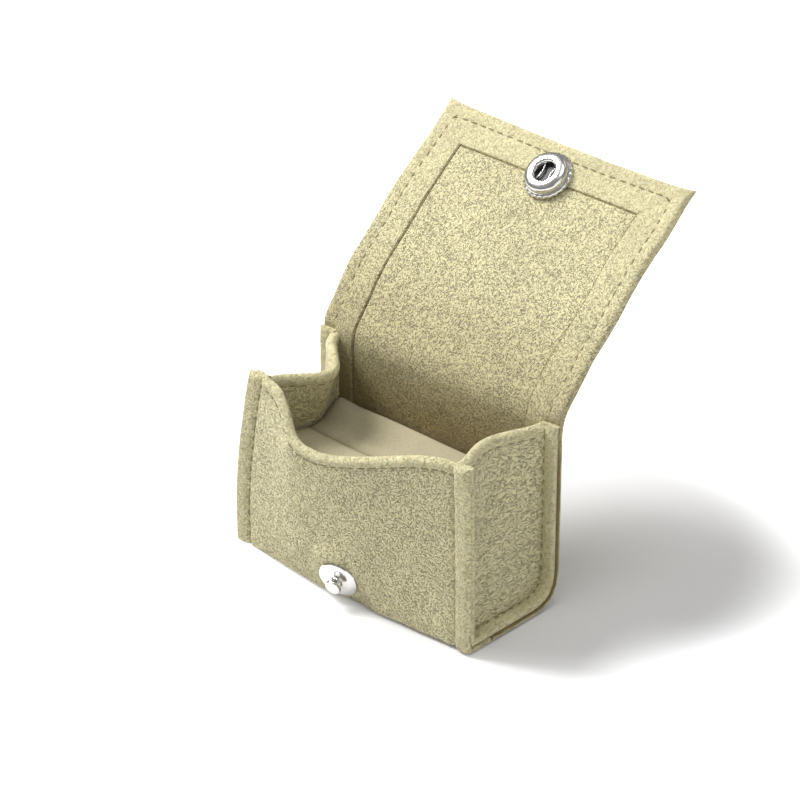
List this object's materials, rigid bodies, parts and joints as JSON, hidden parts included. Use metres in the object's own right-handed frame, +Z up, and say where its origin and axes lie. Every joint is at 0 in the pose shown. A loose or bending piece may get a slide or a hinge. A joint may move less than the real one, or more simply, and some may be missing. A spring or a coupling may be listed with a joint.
{
  "type": "ring box",
  "caption": "Soft suede ring box with a wrap-over flap, a snap fastener, tucked-in side gussets and a slotted ring cushion, shown open.",
  "frame": {"origin": "middle of the base, on the surface the box stands on", "axes": "+X to the right seen from the front, -Y towards the front panel with the stud, +Z up"},
  "size_m": [0.06, 0.0668, 0.0726],
  "materials": {
    "suede": "sage beige microsuede with a short nap",
    "suede_lining": "sage beige microsuede lining",
    "board": "grey board",
    "velvet": "short pile velvet over foam",
    "snap_metal": "nickel plated, polished",
    "spring_metal": "spring wire"
  },
  "bodies": {
    "box": {"base_cover": "suede", "bottom_board": "board", "base_lining": "suede_lining", "left_gusset": "suede", "left_gusset_lining": "suede_lining", "right_gusset": "suede", "right_gusset_lining": "suede_lining", "cushion_front_roll": "velvet", "cushion_back_roll": "velvet"},
    "front_panel": {"front_cover": "suede", "front_lining": "suede_lining", "snap_stud": "snap_metal", "stud_washer": "snap_metal"},
    "lid": {"lid_cover": "suede", "lid_lining": "suede_lining"},
    "front_flap": {"flap_cover": "suede", "flap_lining": "suede_lining", "snap_socket": "snap_metal", "snap_spring": "spring_metal", "snap_cap": "snap_metal"}
  },
  "joints": [
    {"name": "lid_fold", "type": "hinge", "parent": "box", "child": "lid", "pos_m": [0, 0.0119, 0.0384], "axis": [1, 0, 0], "range_deg": [-30, 149.1]},
    {"name": "front_flap_fold", "type": "hinge", "parent": "lid", "child": "front_flap", "pos_m": [0, 0.01944, 0.04707], "axis": [1, 0, 0], "range_deg": [-8.82, 43.8]},
    {"name": "front_panel_fold", "type": "hinge", "parent": "box", "child": "front_panel", "pos_m": [0, -0.01195, 0.0008], "axis": [1, 0, 0], "range_deg": [-35.93, 7.24], "deforming": ["left_gusset", "right_gusset", "left_gusset_lining", "right_gusset_lining", "cushion_front_roll", "cushion_back_roll"]}
  ],
  "couplings": [
    {"joint": "front_flap_fold", "follows": "lid_fold", "ratio": 0.29364},
    {"joint": "front_panel_fold", "follows": "lid_fold", "ratio": -0.24087}
  ]
}
